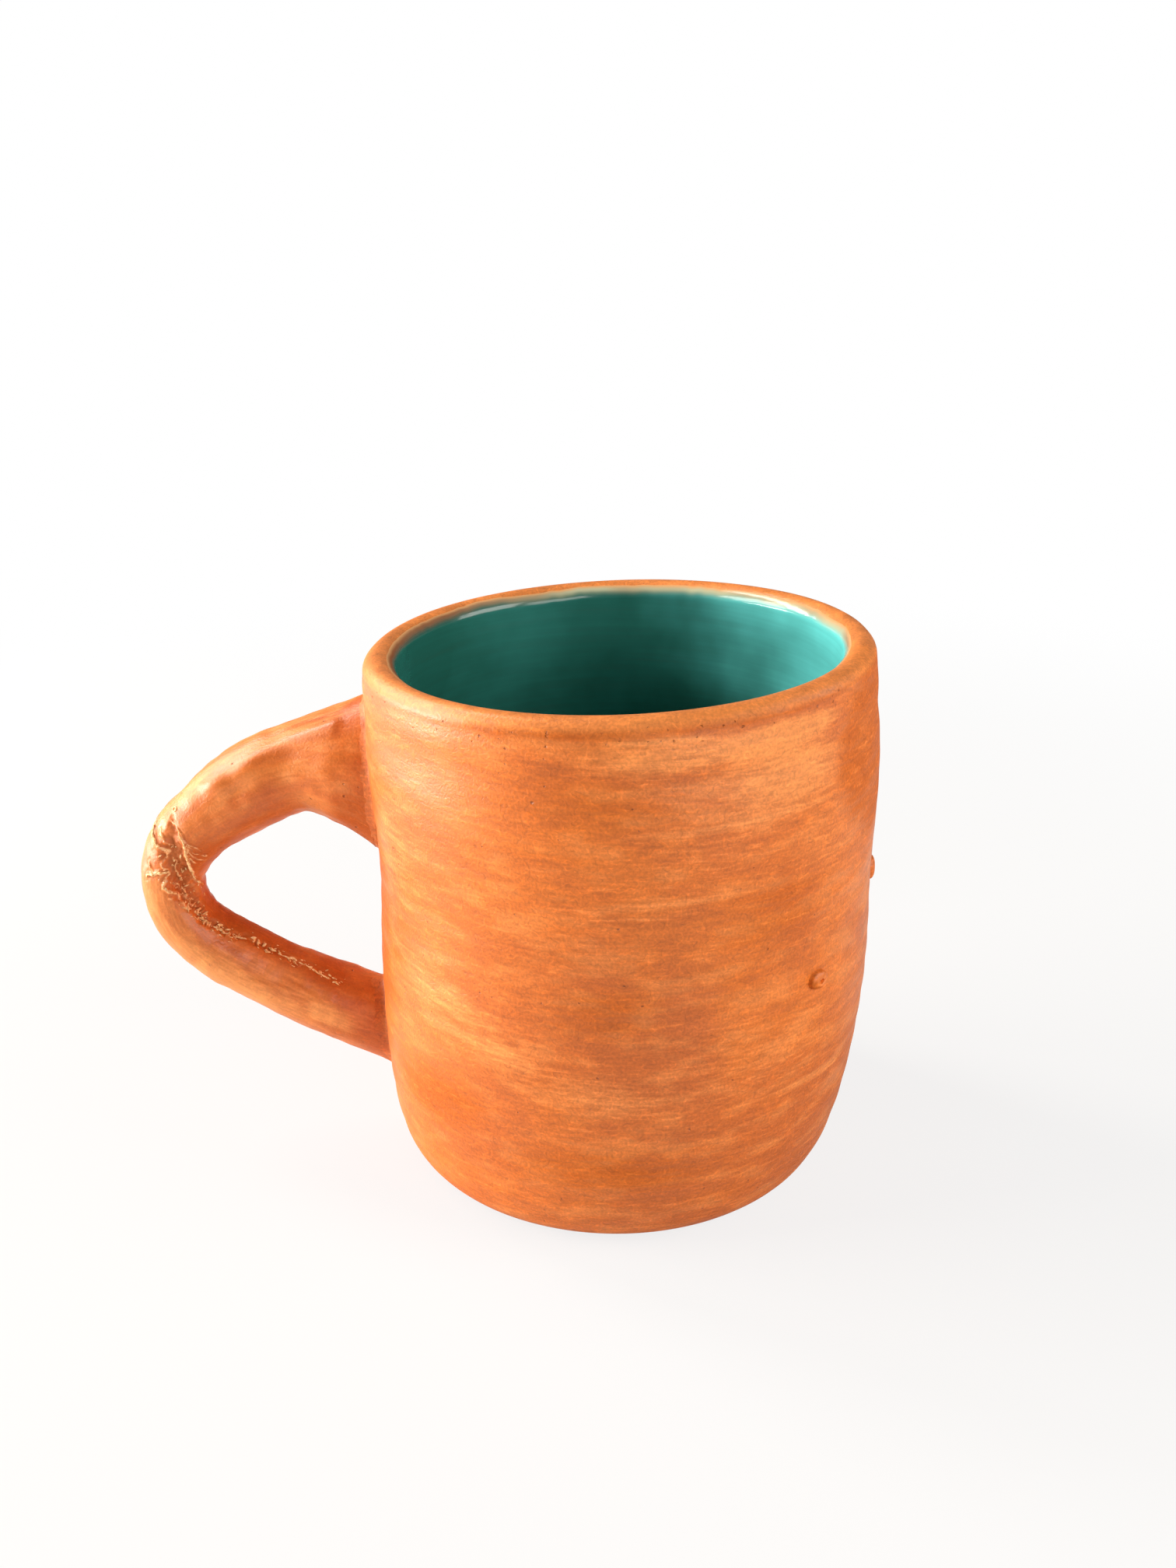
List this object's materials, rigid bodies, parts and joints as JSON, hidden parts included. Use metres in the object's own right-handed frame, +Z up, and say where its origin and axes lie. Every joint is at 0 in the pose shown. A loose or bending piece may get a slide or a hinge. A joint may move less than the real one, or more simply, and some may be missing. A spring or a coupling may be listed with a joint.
{
  "type": "clay mug",
  "caption": "Hand-thrown terracotta mug with a tilted rounded rim, a glossy turquoise glaze inside and a rolled coil handle with a creased elbow.",
  "frame": {"origin": "centre of the flat foot, on the surface that the mug stands on", "axes": "+Z up, -X from the pot's axis towards the handle, +Y away from the viewer who has the handle on the left"},
  "size_m": [0.128, 0.0852, 0.0942],
  "materials": {
    "terracotta": "burnished satin, brushed with a thin pale wash",
    "turquoise_glaze": "glossy glass glaze",
    "slip": "dry fired slip"
  },
  "bodies": {
    "root": {"clay_body": "terracotta", "glaze_lining": "turquoise_glaze", "handle": "terracotta", "upper_slip_joint": "slip", "lower_slip_joint": "slip", "front_pip": "terracotta", "side_pip": "terracotta"}
  },
  "joints": []
}
